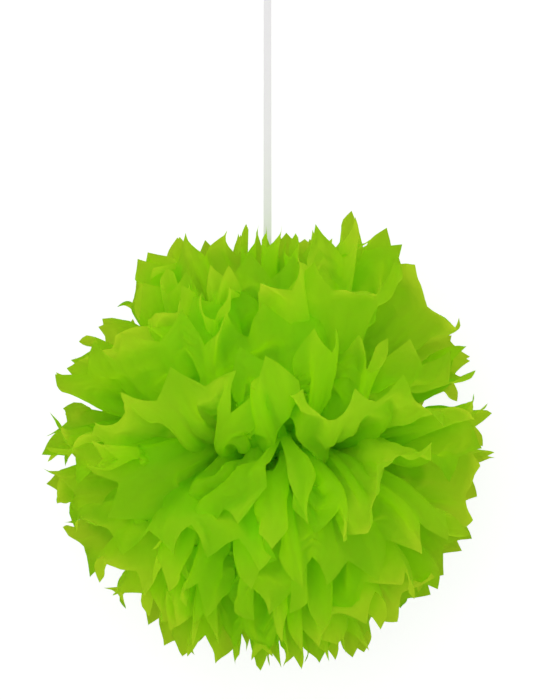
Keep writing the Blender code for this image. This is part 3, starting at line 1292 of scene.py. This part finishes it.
@dataclass(frozen=True)
class RibbonFinish:
    """White woven ribbon with lengthwise ribs, crosswise picks and a soft sheen, with painted shade in the
    hollows between the ribs.
    """

    colour: tuple[float, float, float] = (0.890, 0.875, 0.890)
    # Colour of the painted shade in the hollows between the ribs.
    hollow_colour: tuple[float, float, float] = (0.66, 0.65, 0.66)
    ribs: int = 9
    pick: float = 0.0006
    pick_height: float = 0.2
    mean_shade: float = 0.94
    rib_shade: float = 0.04
    roughness: float = 0.45
    sheen: float = 0.2
    bump_strength: float = 0.4
    bump_depth: float = 0.0002

    def material(self) -> bpy.types.Material:
        """Build the material.

        Returns:
            The ribbon's material.
        """
        material, canvas, shader = new_material("white_ribbon")
        place = canvas.add("ShaderNodeTexCoord")
        split = canvas.add("ShaderNodeSeparateXYZ", {"Vector": place.outputs["UV"]})
        wave = canvas.math("SINE", canvas.math("MULTIPLY", split.outputs["X"], 2 * math.pi * self.ribs))
        picks = canvas.math("SINE", canvas.math("MULTIPLY", split.outputs["Y"], 2 * math.pi / self.pick))
        height = canvas.math("MULTIPLY_ADD", picks, self.pick_height, wave)
        bump = canvas.add(
            "ShaderNodeBump", {"Height": height, "Strength": self.bump_strength, "Distance": self.bump_depth}
        )
        # Painted shade: in step with the rib bump, the colour darkens towards the shaded hollow colour in the
        # grooves between ribs.
        shade = canvas.math("MULTIPLY_ADD", wave, self.rib_shade, self.mean_shade)
        canvas.fill(
            shader,
            {
                "Base Color": canvas.mixed(shade, self.hollow_colour, self.colour),
                "Normal": bump.outputs["Normal"],
                "Roughness": self.roughness,
                "Sheen Weight": self.sheen,
            },
        )
        return material


@dataclass(frozen=True)
class WireFinish:
    """Bare galvanised wire with an uneven dullness."""

    colour: tuple[float, float, float] = (0.550, 0.560, 0.570)
    fibre_scale: float = 1200.0
    least_roughness: float = 0.25
    cloud_roughness: float = 0.3

    def material(self, fibres: bpy.types.NodeTree) -> bpy.types.Material:
        """Build the material.

        Args:
            fibres: The fibre group.

        Returns:
            The wire's material.
        """
        material, canvas, shader = new_material("bare_wire")
        clouds = canvas.group(fibres, {"Scale": self.fibre_scale}).outputs["Clouds"]
        rough = canvas.math("MULTIPLY_ADD", clouds, self.cloud_roughness, self.least_roughness)
        canvas.fill(shader, {"Roughness": rough, "Base Color": (*self.colour, 1.0), "Metallic": 1.0})
        return material


@dataclass
class Studio:
    """Camera, light, white wall and floor.

    Places and sizes are in metres and pixels are the photograph's. A shade is a surface's diffuse part,
    which a shadow darkens, and a lift is light that is added for the camera alone.
    """

    ball: tuple[float, float, float] = (0.0, 0.0, WAIST_HEIGHT)
    distance: float = 1.8
    pixel: float = 0.000889
    frame_size: tuple[int, int] = (545, 700)
    ball_pixel: tuple[float, float] = (267.5, 446.0)
    sensor: float = 36.0
    sky: float = 0.87
    lamp_place: tuple[float, float, float] = (-0.20, -1.8, 0.28)
    lamp_size: float = 0.6
    lamp_watts: float = 5.4
    wall: float = 0.225
    wall_side: float = 1.6
    wall_top: float = 0.9
    wall_white: tuple[float, float] = (0.5, 0.66)
    floor: float = -1.0
    floor_side: float = 3.0
    floor_white: tuple[float, float] = (0.8, 0.2)

    def camera(self) -> None:
        """Place a level camera so that the ball falls where the photograph has it."""
        data = bpy.data.cameras.new("view")
        data.sensor_width = self.sensor
        data.lens = self.sensor * self.distance / (self.pixel * self.frame_size[1])
        obj = placed("view", data)
        across = (self.frame_size[0] / 2 - self.ball_pixel[0]) * self.pixel
        up = (self.ball_pixel[1] - self.frame_size[1] / 2) * self.pixel
        obj.location = (self.ball[0] + across, self.ball[1] - self.distance, self.ball[2] + up)
        obj.rotation_euler = (math.pi / 2, 0.0, 0.0)
        bpy.context.scene.camera = obj

    def lamp(self) -> None:
        """Add a square area light that faces the ball."""
        data = bpy.data.lights.new("key", "AREA")
        data.size = self.lamp_size
        data.energy = self.lamp_watts
        obj = placed("key", data)
        obj.location = Vector(self.ball) + Vector(self.lamp_place)
        obj.rotation_euler = Vector(self.lamp_place).to_track_quat("Z", "Y").to_euler()

    def world(self) -> None:
        """Light the scene evenly, and show plain white where the camera sees past everything."""
        world = bpy.data.worlds.new("studio")
        world.use_nodes = True
        canvas = NodeCanvas(world.node_tree)
        seen = canvas.add("ShaderNodeLightPath").outputs["Is Camera Ray"]
        light = {"Color": (1.0, 1.0, 1.0, 1.0), "Strength": canvas.math("MAXIMUM", seen, self.sky)}
        canvas.fill(world.node_tree.nodes["Background"], light)
        bpy.context.scene.world = world

    def plane(self, name: str, corners: list[tuple[float, float, float]], white: tuple[float, float]) -> None:
        """Add one flat stage surface.

        Args:
            name: The surface's name.
            corners: Its four corners.
            white: Its shade and lift.
        """
        mesh = bpy.data.meshes.new(name)
        mesh.from_pydata(corners, [], [(0, 1, 2, 3)])
        mesh.materials.append(self.white(f"{name}_white", *white))
        placed(name, mesh)

    def white(self, name: str, shade: float, lift: float) -> bpy.types.Material:
        """Plain white that keeps a faint shadow, and is clear from behind.

        Args:
            name: The material's name.
            shade: Diffuse part, which the shadow darkens.
            lift: Light added for the camera.

        Returns:
            The material.
        """
        material, canvas, shader = new_material(name)
        canvas.fill(
            shader, {"Base Color": (shade, shade, shade, 1.0), "Roughness": 1.0, "Specular IOR Level": 0.0}
        )
        seen = canvas.add("ShaderNodeLightPath").outputs["Is Camera Ray"]
        glow = canvas.add("ShaderNodeEmission", {"Strength": canvas.math("MULTIPLY", seen, lift)})
        lit = canvas.add("ShaderNodeAddShader", {"0": shader.outputs[0], "1": glow.outputs[0]})
        back = canvas.add("ShaderNodeNewGeometry").outputs["Backfacing"]
        clear = canvas.add("ShaderNodeBsdfTransparent").outputs[0]
        surface = canvas.add("ShaderNodeMixShader", {"0": back, "1": lit.outputs[0], "2": clear})
        canvas.fill(material.node_tree.nodes["Material Output"], {"Surface": surface.outputs[0]})
        return material

    def build(self) -> None:
        """Set up the whole studio."""
        self.camera()
        self.world()
        self.lamp()
        side, low, high, back = self.wall_side, self.floor, self.wall_top, self.wall
        upright = [(-side, back, low), (side, back, low), (side, back, high), (-side, back, high)]
        self.plane("wall", upright, self.wall_white)
        side = self.floor_side
        level = [(-side, -side, low), (side, -side, low), (side, side, low), (-side, side, low)]
        self.plane("floor", level, self.floor_white)
        bpy.context.scene.view_settings.view_transform = "Standard"


def main() -> None:
    """Build the studio, then the pom pom piece by piece."""
    logging.basicConfig(level=logging.INFO, format="%(message)s")
    Studio().build()
    LOG.info("studio ready")
    crumple, fibres = crumple_group(), fibre_group()
    TissueSheets().build(TissueFinish().material(crumple, fibres))
    ribbon = HangingRibbon().build(RibbonFinish().material())
    LOG.info("ribbon run: %d faces", len(ribbon.data.polygons))
    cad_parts["waist_wire"].material_slots[0].material = WireFinish().material(fibres)
    LOG.info("dressed the waist wire")


if __name__ == "__main__":
    main()
